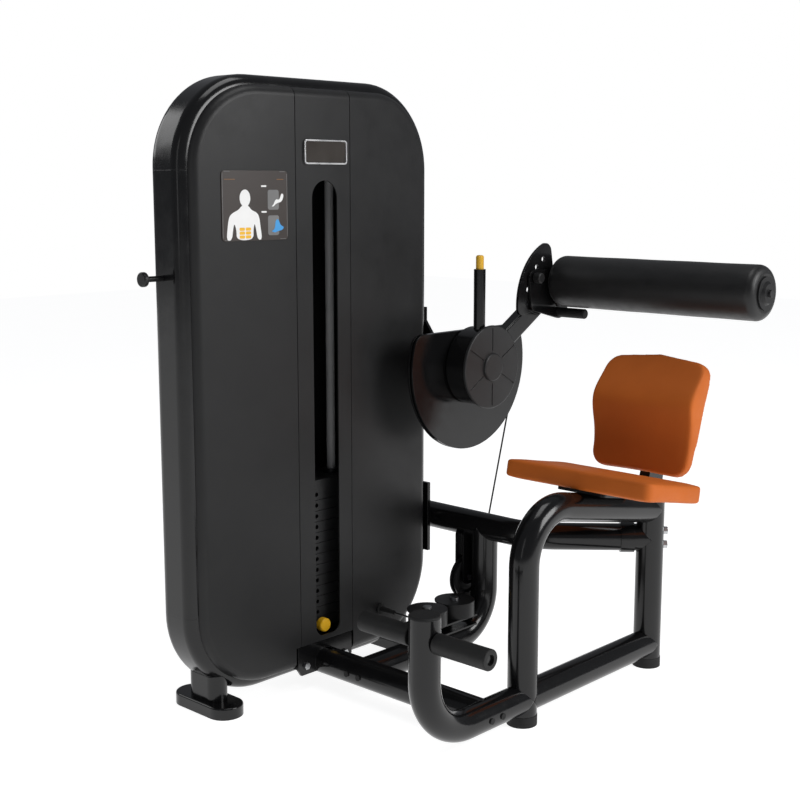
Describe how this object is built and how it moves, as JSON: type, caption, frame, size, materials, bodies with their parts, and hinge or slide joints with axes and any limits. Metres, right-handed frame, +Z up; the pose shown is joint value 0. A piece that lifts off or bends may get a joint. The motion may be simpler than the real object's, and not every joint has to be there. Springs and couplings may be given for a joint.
{
  "type": "ab crunch machine",
  "caption": "Weight-stack gym machine with a tall rounded tower, tubular seat frame, padded seat and backrest, and a cable-driven arm with a foam chest roller.",
  "frame": {"origin": "centre of the machine's footprint box, on the floor", "axes": "+Z up; +X from the foot hoop toward the backrest; -Y toward the user's side, +Y toward the back of the tower"},
  "size_m": [1.372, 1.0619, 1.615],
  "materials": {
    "frame_black": "gloss black powder coat",
    "panel_charcoal": "satin charcoal panel",
    "steel": "bare turned steel",
    "plate_black": "matt black plate",
    "pad_orange": "burnt orange coated fabric",
    "foam_black": "black covered foam",
    "rubber_black": "moulded rubber",
    "plastic_black": "moulded black plastic",
    "knob_yellow": "yellow plastic",
    "bezel_silver": "silver trim",
    "window_brown": "smoked window",
    "placard": "printed plate",
    "cable_black": "coated steel cable"
  },
  "bodies": {
    "frame": {"rim_uprights": "frame_black", "rim_arches": "frame_black", "tower_posts": "frame_black", "tower_foot_pads": "frame_black", "base_rail": "frame_black", "foot_hoop": "frame_black", "seat_front_tube": "frame_black", "seat_rear_post": "frame_black", "seat_floor_tube": "frame_black", "cross_beam": "frame_black", "curved_post": "frame_black", "side_plates": "frame_black", "pulley_brackets": "frame_black", "top_carrier": "frame_black", "stack_base": "frame_black", "pad_mounts": "frame_black", "backrest_board": "frame_black", "front_cover_left": "panel_charcoal", "front_cover_centre": "panel_charcoal", "front_cover_right": "panel_charcoal", "rear_cover": "panel_charcoal", "low_pulley_covers": "panel_charcoal", "bearing_housing": "panel_charcoal", "guide_rods": "steel", "frame_bolts": "steel", "pulley_axles": "steel", "towel_peg": "plastic_black", "seat_pad": "pad_orange", "backrest_pad": "pad_orange", "rubber_pads": "rubber_black", "tube_plugs": "rubber_black", "peg_grips": "rubber_black", "cable_grommet": "rubber_black", "display_bezel": "bezel_silver", "display_window": "window_brown", "instruction_placard": "placard", "drive_cable": "cable_black"},
    "cam": {"cam_plate": "frame_black", "hub_shaft": "steel"},
    "arm": {"hub_drum": "frame_black", "hub_cover": "panel_charcoal", "press_arm": "frame_black", "adjuster_plate": "frame_black"},
    "pull_pin": {"pull_pin": "knob_yellow"},
    "roller_carrier": {"roller_bracket": "frame_black", "roller_bars": "steel", "adjust_handle": "rubber_black"},
    "roller_index_pin": {"roller_index_pin": "plastic_black"},
    "roller": {"roller_foam": "foam_black", "roller_core": "plastic_black"},
    "stack": {"head_plate": "plate_black", "weight_plates": "plate_black", "stack_cable": "cable_black"},
    "selector_pin": {"selector_pin": "knob_yellow"},
    "beam_pulley": {"beam_pulley": "plastic_black"},
    "low_pulley_1": {"low_pulley_1": "plastic_black"},
    "low_pulley_2": {"low_pulley_2": "plastic_black"},
    "base_pulley": {"base_pulley": "plastic_black"},
    "top_pulley_1": {"top_pulley_1": "plastic_black"},
    "top_pulley_2": {"top_pulley_2": "plastic_black"}
  },
  "joints": [
    {"name": "stack_lift", "type": "slide", "parent": "frame", "child": "stack", "axis": [0, 0, 1], "range_m": [0, 0.232], "deforming": ["stack_cable"]},
    {"name": "cam_swing", "type": "hinge", "parent": "frame", "child": "cam", "pos_m": [0.288, 0.42, 0.84], "axis": [0, -1, 0], "range_deg": [0, 59.9]},
    {"name": "arm_index", "type": "hinge", "parent": "cam", "child": "arm", "pos_m": [0.288, 0.42, 0.84], "axis": [0, -1, 0], "range_deg": [0, 60]},
    {"name": "pull_pin_slide", "type": "slide", "parent": "arm", "child": "pull_pin", "axis": [0, 0, 1], "range_m": [0, 0.015], "stiffness_N_per_m": 400, "springref_m": -0.02},
    {"name": "roller_adjust", "type": "hinge", "parent": "arm", "child": "roller_carrier", "pos_m": [0.616, 0.42, 1.003], "axis": [0, -1, 0], "range_deg": [-30, 30]},
    {"name": "roller_pin_slide", "type": "slide", "parent": "roller_carrier", "child": "roller_index_pin", "axis": [0, -1, 0], "range_m": [0, 0.012], "stiffness_N_per_m": 300, "springref_m": -0.01},
    {"name": "roller_spin", "type": "hinge", "parent": "roller_carrier", "child": "roller", "pos_m": [0.611, 0.42, 1.064], "axis": [0, 1, 0], "continuous": true},
    {"name": "selector_slide", "type": "slide", "parent": "stack", "child": "selector_pin", "axis": [0, -1, 0], "range_m": [0, 0.07]},
    {"name": "top_pulley_1_turn", "type": "hinge", "parent": "frame", "child": "top_pulley_1", "pos_m": [-0.024, 0.42, 1.48], "axis": [0, 1, 0], "range_deg": [-360, 360]},
    {"name": "top_pulley_2_turn", "type": "hinge", "parent": "frame", "child": "top_pulley_2", "pos_m": [-0.136, 0.42, 1.48], "axis": [0, 1, 0], "range_deg": [-360, 360]},
    {"name": "base_pulley_turn", "type": "hinge", "parent": "frame", "child": "base_pulley", "pos_m": [0.022, 0.382, 0.196], "axis": [1, 0, 0], "range_deg": [-360, 360]},
    {"name": "low_pulley_1_turn", "type": "hinge", "parent": "frame", "child": "low_pulley_1", "pos_m": [0.068, 0.188, 0.158], "axis": [0, 0, 1], "range_deg": [-360, 360]},
    {"name": "low_pulley_2_turn", "type": "hinge", "parent": "frame", "child": "low_pulley_2", "pos_m": [0.184, 0.188, 0.158], "axis": [0, 0, 1], "range_deg": [-360, 360]},
    {"name": "beam_pulley_turn", "type": "hinge", "parent": "frame", "child": "beam_pulley", "pos_m": [0.287, 0.234, 0.213], "axis": [0, -1, 0], "range_deg": [-360, 360]}
  ],
  "couplings": [
    {"joint": "cam_swing", "follows": "stack_lift", "rad_per_m": 4.5045},
    {"joint": "top_pulley_1_turn", "follows": "stack_lift", "rad_per_m": 21.739},
    {"joint": "top_pulley_2_turn", "follows": "stack_lift", "rad_per_m": 21.739},
    {"joint": "base_pulley_turn", "follows": "stack_lift", "rad_per_m": -26.316},
    {"joint": "low_pulley_1_turn", "follows": "stack_lift", "rad_per_m": 21.739},
    {"joint": "low_pulley_2_turn", "follows": "stack_lift", "rad_per_m": -21.739},
    {"joint": "beam_pulley_turn", "follows": "stack_lift", "rad_per_m": 18.182}
  ]
}
